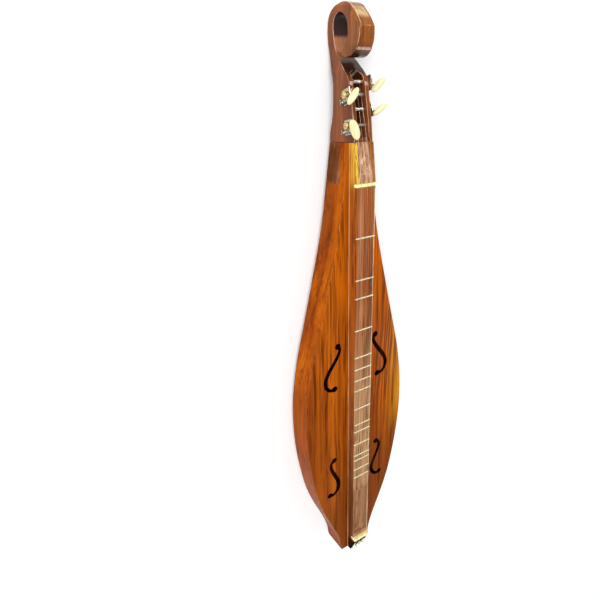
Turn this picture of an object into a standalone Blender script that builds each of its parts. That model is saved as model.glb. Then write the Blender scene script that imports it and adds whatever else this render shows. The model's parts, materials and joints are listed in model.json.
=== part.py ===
"""A four-string mountain dulcimer lying on its back, in metres.

+Y runs along the strings towards the head, +X is the player's right with the head up, and +Z points out of
the soundboard. The origin is under the middle of the instrument, level with the lowest point of the scroll.
"""

import math

import bmesh
import bpy
from mathutils import Matrix, Vector

MM = 0.001
GAP = 0.3 * MM

# Heights.
FRETBOARD_TOP = 76.7 * MM
SOUNDBOARD_TOP = 59.6 * MM
BACK_UNDERSIDE = 10.9 * MM
PLATE = 2.5 * MM
SIDE = 2.5 * MM

# Stations along the instrument.
SCALE_LENGTH = 700 * MM
NUT_Y = 250 * MM
BRIDGE_Y = NUT_Y - SCALE_LENGTH
SEAM_Y = 312 * MM
TAIL_Y = -490.5 * MM

# Fretboard.
FRETBOARD_HALF = 18 * MM
NUT_THICK = 5 * MM
BRIDGE_THICK = 6.2 * MM
SLOT_DEPTH = 5.5 * MM
SEAM_TOP = 69.7 * MM
NUT_PROUD = 2.6 * MM
BRIDGE_PROUD = 7 * MM
FRET_SEMITONES = (2, 4, 5, 7, 9, 10, 11, 12, 14, 16, 17, 19, 21, 22, 24, 26)
CHANNEL_HALF = 12 * MM
CHANNEL_END_Y = 267 * MM
HOLLOW_FROM_Y = -323 * MM
HOLLOW_TO_Y = -441 * MM
HOLLOW_DEPTH = 8.5 * MM
HOLLOW_HALF = 16.3 * MM
RAMP_FROM_Y = -462.2 * MM
RAMP_LOW = 68 * MM

# Head.
HEAD_HALF = 18 * MM
SCROLL_HALF = 12.5 * MM
SLOT_HALF = 10 * MM
SLOT_FROM_Y = 317 * MM
SLOT_TO_Y = 392 * MM
SLOT_FLOOR = 30.7 * MM
# Its head end is a slanting scoop: the axis of the gouge, low and high, as y and z.
SCOOP_LOW = (387 * MM, 26 * MM)
SCOOP_HIGH = (405 * MM, 66 * MM)

# Tuning machines: 14 teeth on the post's gear, one thread on the worm.
TEETH = 14
MODULE = 0.72 * MM
GEAR_PITCH_RADIUS = TEETH * MODULE / 2
WORM_PITCH_RADIUS = 2.6 * MM
CENTRE_DISTANCE = GEAR_PITCH_RADIUS + WORM_PITCH_RADIUS + 0.12 * MODULE
DEDENDUM = 1.12 * MODULE
ADDENDUM = 0.82 * MODULE
WORM_PITCH = math.pi * MODULE
WORM_HALF = 5.6 * MM
WORM_STAND_OFF = 5.2 * MM
GEAR_THICK = 2.6 * MM
POST_RADIUS = 2.4 * MM
SHAFT_RADIUS = 1.5 * MM
SHAFT_END = 15.5 * MM
BUTTON_CENTRE = 18.5 * MM
BUTTON_HALF = (14 * MM, 4 * MM, 8.4 * MM)

# Each machine: name, cheek (-1 left, +1 right), post y and z, lean of the knob shaft towards the head, and
# the angle at which the button has been left.
TUNERS = (
    ("bass", -1, 335 * MM, 58.9 * MM, 8, 106),
    ("melody_outer", 1, 356 * MM, 56.3 * MM, 20, 29),
    ("middle", -1, 375 * MM, 54.3 * MM, 16, 49),
    ("melody_inner", 1, 391.5 * MM, 52.1 * MM, 9, 40),
)

# Hitch pins at the tail end, and the height at which a string leaves its pin.
PIN_Y = -487.6 * MM
PIN_RADIUS = 0.8 * MM
PIN_FOOT = 63 * MM
PIN_TOP = 72.2 * MM
STRING_AT_PIN = 70.6 * MM

# Each string: x at its hitch pin, at the bridge, at the nut and on its post, and its radius.
STRINGS = {
    "bass": (-13 * MM, -14 * MM, -11.5 * MM, -6 * MM, 0.34 * MM),
    "middle": (-4.5 * MM, 0.0, 0.0, -2.5 * MM, 0.26 * MM),
    "melody_inner": (4.5 * MM, 10.5 * MM, 8 * MM, 2.5 * MM, 0.2 * MM),
    "melody_outer": (13 * MM, 13.5 * MM, 11 * MM, 6 * MM, 0.2 * MM),
}

# Half of the body's outline, from the head to the tail: y and half-width in millimetres.
BODY_OUTLINE = (
    (312, 18.2), (250, 27), (200, 34.3), (150, 44.5), (86, 60.3), (20, 77), (-40, 92.5), (-100, 103),
    (-155, 107), (-215, 105), (-275, 97), (-335, 84.5), (-385, 67), (-430, 48),
    (-462, 37.5), (-490.5, 33.5),
)

# The head seen from the side, y and z in millimetres: up the back, over the scroll to its tip, then
# back round the inside of the scroll and down the front of the pegbox.
HEAD_BACK = (
    (312, 11.1), (324, 11.7), (336, 15.1), (348, 18.1), (362, 19.7), (378, 20.3), (393, 19.7), (407, 15.9),
    (422, 10.2), (436, 4.7), (448, 1.3), (460, 0), (471, 1.1), (481, 6.2), (487.5, 15.7), (490.3, 27.7),
    (490, 37.5), (488, 44.5), (484.5, 50.7),
)
SCROLL_TOP_FACET = ((484.5, 50.7), (478, 57.2), (472.5, 62.5), (465.5, 68.2), (457.5, 73.2))
SCROLL_FRONT_FACET = ((457.5, 73.2), (448.7, 73.6), (438.4, 71.3), (429, 65.6))
SCROLL_TIP = ((429, 65.6), (423.6, 56.5), (422.3, 45.7), (425, 37.2))
HEAD_FRONT = (
    (425, 37.2),
    (429, 34.2), (434, 38.2), (440, 44.2), (448, 47.5), (458, 47.7), (467, 45.0), (474.5, 39.0),
    (478.6, 30.7), (477.2, 20.7), (471, 14.9), (461, 13.9), (450, 15.2), (440, 17.9), (430, 23.2),
    (421, 31.6), (413, 39.6), (406, 46.8), (397, 53.2), (386, 57), (370, 61),
    (353, 64.4), (338, 67), (312, 69.7),
)
# Half-width of the head seen from the front: y and half-width in millimetres.
HEAD_WIDTH = ((310, 18), (398, 18), (410, 17.2), (422, 15.3), (433, 13.7), (446, 13.2), (492, 13.2))

# Middle line of the upper and lower sound holes on the right, x and y in millimetres.
UPPER_HOLE = (
    (40.5, -11), (36.5, -17), (39.5, -27.5), (48.5, -41), (57.5, -53), (64.5, -65), (66.8, -76), (64, -86),
    (56.5, -92.5), (47.5, -92.5),
)
LOWER_HOLE = (
    (50, -248), (57, -253.5), (57, -265), (51.5, -279), (44.5, -293.5), (40.5, -306), (41.5, -318),
    (47.5, -327), (54.5, -330.5), (60.5, -328.5),
)
HOLE_HALF = 3.1 * MM
HOLE_END_RADIUS = 5.6 * MM

BOARD_ORANGE = (0.42, 0.17, 0.045)
SIDE_BROWN = (0.27, 0.11, 0.05)
HEAD_BROWN = (0.35, 0.13, 0.045)
INNER_WOOD = (0.62, 0.45, 0.27)


def clear_scene():
    for obj in list(bpy.data.objects):
        bpy.data.objects.remove(obj)


def collection(name):
    made = bpy.data.collections.new(name)
    bpy.context.scene.collection.children.link(made)
    return made


def material(name, colour, roughness, metallic=0.0):
    made = bpy.data.materials.new(name)
    made.use_nodes = True
    shader = made.node_tree.nodes["Principled BSDF"]
    shader.inputs["Base Color"].default_value = (*colour, 1)
    shader.inputs["Roughness"].default_value = roughness
    shader.inputs["Metallic"].default_value = metallic
    return made


clear_scene()
PARTS = collection("mountain_dulcimer")
CUTTERS = collection("cutters")


def add_part(name, mesh, colour, roughness=0.35, metallic=0.0, place=Matrix(), home=PARTS):
    """Puts a mesh in the scene as one named piece with its own material."""
    obj = bpy.data.objects.new(name, mesh)
    obj.matrix_world = place
    mesh.materials.append(material(name, colour, roughness, metallic))
    mesh.shade_smooth()
    mesh.set_sharp_from_angle(angle=math.radians(35))
    home.objects.link(obj)
    return obj


def add_cutter(name, mesh, place=Matrix()):
    obj = bpy.data.objects.new(name, mesh)
    obj.matrix_world = place
    obj.hide_render = True
    obj.display_type = "WIRE"
    CUTTERS.objects.link(obj)
    return obj


def boolean(obj, other, operation="DIFFERENCE"):
    modifier = obj.modifiers.new(other.name, "BOOLEAN")
    modifier.object = other
    modifier.operation = operation


def smooth(points, steps, closed=False):
    """A Catmull-Rom line through the points, with so many steps between two of them."""
    count = len(points)
    line = []
    for i in range(count if closed else count - 1):
        if closed:
            four = [points[(i + k) % count] for k in (-1, 0, 1, 2)]
        else:
            four = [points[min(max(i + k, 0), count - 1)] for k in (-1, 0, 1, 2)]
        a, b, c, d = (Vector(point) for point in four)
        for step in range(steps):
            t = step / steps
            line.append(
                0.5 * (2 * b + (c - a) * t + (2 * a - 5 * b + 4 * c - d) * t**2
                       + (3 * b - a - 3 * c + d) * t**3)
            )
    if not closed:
        line.append(Vector(points[-1]))
    return line


def in_metres(points):
    return [(a * MM, b * MM) for a, b in points]


def curve_mesh(name, loops, half_depth):
    """The loops filled as a flat outline, extruded both ways along its normal, as a closed mesh."""
    curve = bpy.data.curves.new(name, "CURVE")
    curve.dimensions = "2D"
    curve.fill_mode = "BOTH"
    curve.extrude = half_depth
    for loop in loops:
        spline = curve.splines.new("POLY")
        spline.points.add(len(loop) - 1)
        for point, (x, y) in zip(spline.points, loop):
            point.co = (x, y, 0, 1)
        spline.use_cyclic_u = True
    guide = bpy.data.objects.new(name, curve)
    PARTS.objects.link(guide)
    graph = bpy.context.evaluated_depsgraph_get()
    mesh = bpy.data.meshes.new_from_object(guide.evaluated_get(graph))
    bpy.data.objects.remove(guide)
    cage = bmesh.new()
    cage.from_mesh(mesh)
    bmesh.ops.remove_doubles(cage, verts=cage.verts, dist=1e-6)
    bmesh.ops.recalc_face_normals(cage, faces=cage.faces)
    cage.to_mesh(mesh)
    cage.free()
    return mesh


def plan_mesh(name, loops, low, high):
    """A flat outline in X and Y, standing between two heights."""
    mesh = curve_mesh(name, loops, (high - low) / 2)
    mesh.transform(Matrix.Translation((0, 0, (low + high) / 2)))
    return mesh


def profile_mesh(name, loops, left, right):
    """An outline in Y and Z, reaching across the instrument from one X to another."""
    mesh = curve_mesh(name, loops, (right - left) / 2)
    turn = Matrix(((0, 0, 1, 0), (1, 0, 0, 0), (0, 1, 0, 0), (0, 0, 0, 1)))
    mesh.transform(Matrix.Translation(((left + right) / 2, 0, 0)) @ turn)
    return mesh


def box_mesh(name, low, high):
    cage = bmesh.new()
    bmesh.ops.create_cube(cage, size=1)
    size = Vector(high) - Vector(low)
    bmesh.ops.scale(cage, vec=size, verts=cage.verts)
    bmesh.ops.translate(cage, vec=(Vector(high) + Vector(low)) / 2, verts=cage.verts)
    mesh = bpy.data.meshes.new(name)
    cage.to_mesh(mesh)
    cage.free()
    return mesh


def rod_mesh(name, radius, start, end, sides=24):
    """A round bar between two points."""
    along = Vector(end) - Vector(start)
    cage = bmesh.new()
    bmesh.ops.create_cone(
        cage, cap_ends=True, segments=sides, radius1=radius, radius2=radius, depth=along.length
    )
    turn = along.to_track_quat("Z", "Y").to_matrix().to_4x4()
    middle = Matrix.Translation((Vector(start) + Vector(end)) / 2)
    bmesh.ops.transform(cage, matrix=middle @ turn, verts=cage.verts)
    mesh = bpy.data.meshes.new(name)
    cage.to_mesh(mesh)
    cage.free()
    return mesh


def half_outline(inset, steps=3):
    """The right half of the body's outline from head to tail, moved inwards by a distance."""
    line = smooth(in_metres([(half, y) for y, half in BODY_OUTLINE]), steps)
    moved = []
    for i, point in enumerate(line):
        along = line[min(i + 1, len(line) - 1)] - line[max(i - 1, 0)]
        inward = Vector((along.y, -along.x)).normalized()
        moved.append(point + inward * inset)
    return moved


def mirrored(line):
    return [Vector((-point.x, point.y)) for point in line]


def between(line, low, high):
    return [point for point in line if low < point.y < high]


def half_width(y, inset):
    """Half of the body's width at one station, less an inset."""
    line = half_outline(inset)
    for upper, lower in zip(line, line[1:]):
        if lower.y <= y <= upper.y:
            part = (upper.y - y) / (upper.y - lower.y)
            return upper.x + (lower.x - upper.x) * part
    return line[0].x if y > line[0].y else line[-1].x


def strip(outer, inner):
    """A closed loop between two lines that run side by side."""
    return list(outer) + list(reversed(inner))


def sound_hole(middle_line):
    """One S-shaped opening: a slender slot that ends in a round eye each way."""
    line = smooth(in_metres(middle_line), 4)
    left, right = [], []
    last = len(line) - 1
    for i, point in enumerate(line):
        along = (line[min(i + 1, last)] - line[max(i - 1, 0)]).normalized()
        across = Vector((-along.y, along.x))
        half = HOLE_HALF * (0.8 + 0.45 * math.sin(math.pi * i / last))
        left.append(point + across * half)
        right.append(point - across * half)
    return end_eye(left, right, line) + end_eye(list(reversed(right)), list(reversed(left)), line[::-1])


def end_eye(side, other, line):
    """One side of the slot with the round eye at its far end."""
    centre = line[-1]
    keep = [p for p in side if (p - centre).length > HOLE_END_RADIUS
            and (p - line[0]).length > HOLE_END_RADIUS]
    other_keep = [p for p in other if (p - centre).length > HOLE_END_RADIUS]
    start = keep[-1] - centre
    stop = other_keep[-1] - centre
    first = math.atan2(start.y, start.x)
    turn = (math.atan2(stop.y, stop.x) - first) % (2 * math.pi)
    if turn < math.pi:
        turn -= 2 * math.pi
    arc = []
    for step in range(1, 12):
        angle = first + turn * step / 12
        arc.append(centre + Vector((math.cos(angle), math.sin(angle))) * HOLE_END_RADIUS)
    return keep + arc


def make_soundbox():
    whole = half_outline(0) + list(reversed(mirrored(half_outline(0))))
    holes = []
    for middle_line in (UPPER_HOLE, LOWER_HOLE):
        hole = sound_hole(middle_line)
        holes += [hole, mirrored(hole)]
    board = plan_mesh("soundboard", [whole, *holes], SOUNDBOARD_TOP - PLATE, SOUNDBOARD_TOP)
    add_part("soundboard", board, BOARD_ORANGE, 0.2)
    back = plan_mesh("back", [whole], BACK_UNDERSIDE, BACK_UNDERSIDE + PLATE)
    add_part("back", back, SIDE_BROWN, 0.22)

    low = BACK_UNDERSIDE + PLATE + GAP
    high = SOUNDBOARD_TOP - PLATE - GAP
    wall = strip(half_outline(0), half_outline(SIDE))
    add_part("side_right", plan_mesh("side_right", [wall], low, high), SIDE_BROWN, 0.22)
    add_part("side_left", plan_mesh("side_left", [mirrored(wall)], low, high), SIDE_BROWN, 0.22)

    # The blocks fill both ends between the sides.
    block_ends = {"head_block": (272 * MM, SEAM_Y), "tail_block": (TAIL_Y, -456 * MM)}
    for name, (start, end) in block_ends.items():
        flank = [p for p in half_outline(SIDE + GAP) if start <= p.y <= end]
        flank = [Vector((half_width(end, SIDE + GAP), end)), *between(flank, start, end),
                 Vector((half_width(start, SIDE + GAP), start))]
        loop = flank + list(reversed(mirrored(flank)))
        add_part(name, plan_mesh(name, [loop], low, high), INNER_WOOD, 0.7)

    # Linings: strips that widen the glue joint between each side and the two plates.
    run = (-454 * MM, 268 * MM)
    outer = between(half_outline(SIDE + GAP), *run)
    inner = between(half_outline(SIDE + 5 * MM), *run)
    loop = strip(outer, inner)
    for level, (start, end) in {"top": (high - 7 * MM, high), "back": (low, low + 7 * MM)}.items():
        for side, line in {"right": loop, "left": mirrored(loop)}.items():
            name = f"lining_{level}_{side}"
            add_part(name, plan_mesh(name, [line], start, end), INNER_WOOD, 0.7)

    # Cross braces, kept clear of the linings and of the sound holes.
    braces = {
        "soundboard_brace_upper": (70, high - 9 * MM, high),
        "soundboard_brace_lower": (-180, high - 9 * MM, high),
        "back_brace_upper": (20, low, low + 9 * MM),
        "back_brace_lower": (-230, low, low + 9 * MM),
    }
    for name, (station, start, end) in braces.items():
        y = station * MM
        narrow_edge = y + 4 * MM if station > -155 else y - 4 * MM
        reach = half_width(narrow_edge, SIDE + 6.5 * MM)
        brace = box_mesh(name, (-reach, y - 4 * MM, start), (reach, y + 4 * MM, end))
        add_part(name, brace, INNER_WOOD, 0.7)


def make_fretboard():
    low = SOUNDBOARD_TOP + GAP
    side_view = (
        (SEAM_Y, low), (SEAM_Y, SEAM_TOP), (NUT_Y + NUT_THICK + 1 * MM, FRETBOARD_TOP),
        (RAMP_FROM_Y, FRETBOARD_TOP), (TAIL_Y, RAMP_LOW), (TAIL_Y, low),
    )
    mesh = profile_mesh("fretboard", [side_view], -FRETBOARD_HALF, FRETBOARD_HALF)
    board = add_part("fretboard", mesh, (0.36, 0.17, 0.09), 0.25)
    boolean(board, string_channel())

    # The strum hollow: a shallow scoop with a curved start and end.
    top = FRETBOARD_TOP + 1 * MM
    bottom = FRETBOARD_TOP - HOLLOW_DEPTH
    rise = 16 * MM
    scoop = [(HOLLOW_FROM_Y, top)]
    for step in range(7):
        angle = math.pi / 2 * step / 6
        scoop.append((HOLLOW_FROM_Y - rise * math.sin(angle), bottom + HOLLOW_DEPTH * math.cos(angle)))
    for step in range(5):
        angle = math.pi / 2 * step / 4
        along, above = 6 * MM * (1 - math.sin(angle)), 6 * MM * (1 - math.cos(angle))
        scoop.append((HOLLOW_TO_Y + along, bottom + above))
    scoop.append((HOLLOW_TO_Y, top))
    cutter = profile_mesh("strum_hollow", [scoop], -HOLLOW_HALF, HOLLOW_HALF)
    boolean(board, add_cutter("strum_hollow", cutter))

    # Slots across the board for the nut, the bridge and the tang of each fret.
    across = FRETBOARD_HALF + 1 * MM
    slots = {
        "nut_slot": (NUT_Y - GAP, NUT_Y + NUT_THICK + GAP, SLOT_DEPTH + GAP),
        "bridge_slot": (BRIDGE_Y - BRIDGE_THICK - GAP, BRIDGE_Y + GAP, SLOT_DEPTH + GAP),
    }
    for number, semitone in enumerate(FRET_SEMITONES, start=1):
        y = fret_y(semitone)
        slots[f"fret_slot_{number:02}"] = (y - 0.65 * MM, y + 0.65 * MM, 2 * MM)
    for name, (start, end, depth) in slots.items():
        slot = box_mesh(name, (-across, start, FRETBOARD_TOP - depth), (across, end, top))
        boolean(board, add_cutter(name, slot))
    for name, (at_pin, *_) in STRINGS.items():
        hole = rod_mesh("hole", 1.1 * MM, (at_pin, PIN_Y, PIN_FOOT - GAP), (at_pin, PIN_Y, top), 12)
        boolean(board, add_cutter(f"pin_hole_{name}", hole))


def fret_y(semitone):
    return NUT_Y - SCALE_LENGTH * (1 - 2 ** (-semitone / 12))


def string_channel():
    """A round-ended scoop behind the nut whose floor falls towards the pegbox."""
    corner = 8 * MM
    end, open_end = CHANNEL_END_Y, SLOT_FROM_Y + 1 * MM
    loop = [(CHANNEL_HALF, open_end), (-CHANNEL_HALF, open_end)]
    for centre_x, start in ((corner - CHANNEL_HALF, math.pi), (CHANNEL_HALF - corner, 1.5 * math.pi)):
        for step in range(7):
            angle = start + math.pi / 2 * step / 6
            loop.append((centre_x + corner * math.cos(angle), end + corner * (1 + math.sin(angle))))
    mesh = plan_mesh("string_channel", [loop], 0, FRETBOARD_TOP + 1 * MM)
    for vertex in mesh.vertices:
        if vertex.co.z < 1 * MM:
            part = (vertex.co.y - end) / (open_end - end)
            vertex.co.z = FRETBOARD_TOP - (2.6 + 13.6 * part) * MM
    return add_cutter("string_channel", mesh)


def make_frets_nut_bridge():
    crown_low = FRETBOARD_TOP + GAP
    for number, semitone in enumerate(FRET_SEMITONES, start=1):
        y = fret_y(semitone)
        foot = FRETBOARD_TOP - 1.6 * MM
        section = [(y - 0.35 * MM, crown_low), (y - 0.35 * MM, foot), (y + 0.35 * MM, foot),
                   (y + 0.35 * MM, crown_low)]
        for step in range(7):
            angle = math.pi * step / 6
            section.append((y + 1.2 * MM * math.cos(angle), crown_low + 1.1 * MM * math.sin(angle)))
        name = f"fret_{number:02}"
        reach = FRETBOARD_HALF - 0.2 * MM
        add_part(name, profile_mesh(name, [section], -reach, reach), (0.78, 0.74, 0.6), 0.25, 1.0)
    for name, y, thick, proud in (("nut", NUT_Y, NUT_THICK, NUT_PROUD),
                                  ("bridge", BRIDGE_Y - BRIDGE_THICK, BRIDGE_THICK, BRIDGE_PROUD)):
        low, high = FRETBOARD_TOP - SLOT_DEPTH, FRETBOARD_TOP + proud
        section = [(y, low), (y + thick, low), (y + thick, high - 1 * MM), (y + thick - 1 * MM, high),
                   (y + 1 * MM, high), (y, high - 1 * MM)]
        blank = profile_mesh(name, [section], -FRETBOARD_HALF, FRETBOARD_HALF)
        add_part(name, blank, (0.86, 0.79, 0.6), 0.4)


def make_head():
    """Pegbox and open scroll, cut from one piece: a side view met by a front view."""
    profile = []
    for stretch in (HEAD_BACK, SCROLL_TOP_FACET, SCROLL_FRONT_FACET, SCROLL_TIP, HEAD_FRONT):
        profile += smooth(in_metres(stretch), 2)[:-1]
    profile.append(Vector(in_metres(HEAD_FRONT)[-1]))
    profile = [(SEAM_Y + GAP, p[1]) if p[0] < SEAM_Y + GAP else (p[0], p[1]) for p in profile]
    head = add_part("head", profile_mesh("head", [profile], -HEAD_HALF, HEAD_HALF), HEAD_BROWN, 0.22)
    flank = smooth(in_metres([(half, y) for y, half in HEAD_WIDTH]), 3)
    front_view = flank + list(reversed(mirrored(flank)))
    shape = add_cutter("head_front_view", plan_mesh("head_front_view", [front_view], -5 * MM, 90 * MM))
    boolean(head, shape, "INTERSECT")
    slot = box_mesh("pegbox_slot", (-SLOT_HALF, SLOT_FROM_Y, SLOT_FLOOR), (SLOT_HALF, SLOT_TO_Y, 90 * MM))
    boolean(head, add_cutter("pegbox_slot", slot))
    scoop = rod_mesh("pegbox_scoop", SLOT_HALF - 0.1 * MM, (0, *SCOOP_LOW), (0, *SCOOP_HIGH), 28)
    boolean(head, add_cutter("pegbox_scoop", scoop))
    boolean(head, bpy.data.objects["string_channel"])
    for name, cheek, y, z, _, _ in TUNERS:
        start, end = (cheek * (HEAD_HALF + 2 * MM), y, z), (-cheek * 14.3 * MM, y, z)
        bore = rod_mesh("bore", POST_RADIUS + GAP, start, end)
        boolean(head, add_cutter(f"post_bore_{name}", bore))


def gear_loop():
    """Outline of the post's gear, with a gap between teeth at angle zero."""
    loop = []
    for tooth in range(TEETH):
        middle = 2 * math.pi * (tooth + 0.5) / TEETH
        root, tip = GEAR_PITCH_RADIUS - DEDENDUM, GEAR_PITCH_RADIUS + ADDENDUM
        for radius, half in ((root, -0.85), (tip, -0.41), (tip, 0.41), (root, 0.85)):
            angle = middle + half * MODULE / radius
            loop.append((radius * math.cos(angle), radius * math.sin(angle)))
    return loop


def worm_mesh():
    """Knob shaft with its right-handed worm: rings along Z whose radius follows the thread."""
    sides = 16
    root = WORM_PITCH_RADIUS - DEDENDUM
    height = DEDENDUM + ADDENDUM
    count = 37
    stations = [(-9.2 * MM, SHAFT_RADIUS, 0), (-WORM_HALF, SHAFT_RADIUS, 0)]
    for i in range(count):
        z = -WORM_HALF + 2 * WORM_HALF * i / (count - 1)
        stations.append((z, root, 0 if i in (0, count - 1) else height))
    stations += [(WORM_HALF, SHAFT_RADIUS, 0), (SHAFT_END, SHAFT_RADIUS, 0)]
    cage = bmesh.new()
    rings = []
    for z, radius, thread in stations:
        ring = []
        for side in range(sides):
            angle = 2 * math.pi * side / sides
            offset = abs((z / WORM_PITCH - angle / (2 * math.pi) + 0.5) % 1 - 0.5) * WORM_PITCH
            share = min(max((0.88 * MODULE - offset) / (0.53 * MODULE), 0), 1)
            r = radius + thread * share
            ring.append(cage.verts.new((r * math.cos(angle), r * math.sin(angle), z)))
        rings.append(ring)
    for low, high in zip(rings, rings[1:]):
        for i in range(sides):
            j = (i + 1) % sides
            cage.faces.new((low[i], low[j], high[j], high[i]))
    cage.faces.new(list(reversed(rings[0])))
    cage.faces.new(rings[-1])
    mesh = bpy.data.meshes.new("worm")
    cage.to_mesh(mesh)
    cage.free()
    return mesh


def button_mesh():
    """A flat oval thumb button with a socket for the shaft; its long axis is X and the shaft's is Z."""
    cage = bmesh.new()
    bmesh.ops.create_uvsphere(cage, u_segments=20, v_segments=12, radius=1)
    for vertex in cage.verts:
        flat = math.copysign(abs(vertex.co.y) ** 0.75, vertex.co.y)
        vertex.co = (vertex.co.x * BUTTON_HALF[0], flat * BUTTON_HALF[1], vertex.co.z * BUTTON_HALF[2])
    mesh = bpy.data.meshes.new("button")
    cage.to_mesh(mesh)
    cage.free()
    return mesh


def make_tuner(name, cheek, y, z, lean, button_turn):
    """One open-geared tuning machine. Its own X faces outwards, its Z runs up the knob shaft."""
    lean = math.radians(lean)
    shaft = Vector((0, math.sin(lean), math.cos(lean)))
    towards_tail = Vector((0, -math.cos(lean), math.sin(lean)))
    out = Vector((cheek, 0, 0))
    seat = Vector((cheek * HEAD_HALF, y, z))

    def spot(u, q, s):
        return seat + out * u + towards_tail * q + shaft * s

    def frame(origin, x_axis, y_axis, z_axis):
        turn = Matrix((x_axis, y_axis, z_axis)).transposed().to_4x4()
        return Matrix.Translation(origin) @ turn

    # Base plate with two ears that carry the knob shaft. Local axes: X world, Y towards the tail, Z shaft.
    side_axis = towards_tail.cross(shaft)
    flip = 1 if side_axis.dot(out) > 0 else -1
    place = frame(seat, side_axis, towards_tail, shaft)

    def slab(u0, u1, q0, q1, s0, s1):
        low_u, high_u = sorted((flip * u0, flip * u1))
        return box_mesh("slab", (low_u * MM, q0 * MM, s0 * MM), (high_u * MM, q1 * MM, s1 * MM))

    plate = add_part(f"tuner_plate_{name}", slab(0.3, 1.5, -8, 12.2, -8.6, 8), (0.7, 0.68, 0.62), 0.3, 1.0,
                     place)
    for ear, (s0, s1) in {"low": (-7.8, -6.6), "high": (6.6, 7.8)}.items():
        mesh = slab(1.0, 8.6, 4.6, 10.9, s0, s1)
        boolean(plate, add_cutter(f"ear_{ear}_{name}", mesh, place), "UNION")
    boolean(plate, add_cutter(
        f"shaft_bore_{name}",
        rod_mesh("bore", SHAFT_RADIUS + GAP, spot(WORM_STAND_OFF, CENTRE_DISTANCE, -12 * MM),
                 spot(WORM_STAND_OFF, CENTRE_DISTANCE, 12 * MM)),
    ))
    boolean(plate, add_cutter(
        f"post_clearance_{name}",
        rod_mesh("bore", POST_RADIUS + 2 * GAP, spot(-1 * MM, 0, 0), spot(3 * MM, 0, 0)),
    ))

    # Post with its gear. The gear's outline lies in the plane of the plate, with a gap towards the worm.
    gear = curve_mesh("gear", [gear_loop()], GEAR_THICK / 2)
    gear.transform(frame(Vector(), towards_tail, Vector((1, 0, 0)).cross(towards_tail), Vector((1, 0, 0))))
    gear.transform(Matrix.Translation(out * WORM_STAND_OFF))
    rod = rod_mesh("post", POST_RADIUS, out * 7.8 * MM, -out * (HEAD_HALF + 14 * MM))
    post = add_part(f"tuner_post_{name}", gear, (0.72, 0.5, 0.2), 0.3, 1.0, Matrix.Translation(seat))
    boolean(post, add_cutter(f"post_rod_{name}", rod, Matrix.Translation(seat)), "UNION")

    # Knob shaft with the worm. Its X points at the gear, so that a thread crest meets the gear's gap.
    worm_origin = spot(WORM_STAND_OFF, CENTRE_DISTANCE, 0)
    worm_place = frame(worm_origin, -towards_tail, shaft.cross(-towards_tail), shaft)
    add_part(f"tuner_worm_{name}", worm_mesh(), (0.75, 0.75, 0.74), 0.25, 1.0, worm_place)

    turn = math.radians(button_turn)
    headward = -towards_tail
    long_axis = Vector((1, 0, 0)) * math.cos(turn) + headward * math.sin(turn)
    button_place = frame(worm_origin, long_axis, shaft.cross(long_axis), shaft)
    mesh = button_mesh()
    mesh.transform(Matrix.Translation((0, 0, BUTTON_CENTRE)))
    button = add_part(f"tuner_button_{name}", mesh, (0.88, 0.82, 0.58), 0.35, 0.0, button_place)
    socket = rod_mesh("socket", SHAFT_RADIUS + GAP, (0, 0, 5 * MM), (0, 0, SHAFT_END + GAP))
    boolean(button, add_cutter(f"button_socket_{name}", socket, button_place))


# Hitch pins on the ramp behind the bridge.


def make_strings():
    posts = {name: (y, z) for name, _, y, z, _, _ in TUNERS}
    for name, (at_pin, at_bridge, at_nut, at_post, radius) in STRINGS.items():
        post_y, post_z = posts[name]
        over_bridge = FRETBOARD_TOP + BRIDGE_PROUD + GAP + radius
        over_nut = FRETBOARD_TOP + NUT_PROUD + GAP + radius
        route = [
            (at_pin, PIN_Y + PIN_RADIUS + GAP, STRING_AT_PIN),
            (at_bridge, BRIDGE_Y - BRIDGE_THICK + 1 * MM, over_bridge),
            (at_bridge, BRIDGE_Y - 1 * MM, over_bridge),
            (at_nut, NUT_Y + 1 * MM, over_nut),
            (at_nut, NUT_Y + 4 * MM, over_nut),
            (at_post, post_y, post_z + POST_RADIUS + GAP + radius),
        ]
        curve = bpy.data.curves.new(f"string_{name}", "CURVE")
        curve.dimensions = "3D"
        curve.bevel_depth = radius
        curve.bevel_resolution = 2
        curve.use_fill_caps = True
        spline = curve.splines.new("POLY")
        spline.points.add(len(route) - 1)
        for point, place in zip(spline.points, route):
            point.co = (*place, 1)
        obj = bpy.data.objects.new(f"string_{name}", curve)
        curve.materials.append(material(f"string_{name}", (0.62, 0.6, 0.56), 0.3, 1.0))
        PARTS.objects.link(obj)
        pin = rod_mesh("pin", PIN_RADIUS, (at_pin, PIN_Y, PIN_FOOT), (at_pin, PIN_Y, PIN_TOP), 12)
        add_part(f"hitch_pin_{name}", pin, (0.75, 0.73, 0.68), 0.3, 1.0)


make_soundbox()
make_fretboard()
make_frets_nut_bridge()
make_head()
for tuner in TUNERS:
    make_tuner(*tuner)
make_strings()
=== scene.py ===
"""Looks for the mountain dulcimer: lacquered wood, bone, plastic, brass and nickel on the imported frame."""

import json
import math

import bmesh
import bpy
from mathutils import Matrix, Vector


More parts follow.
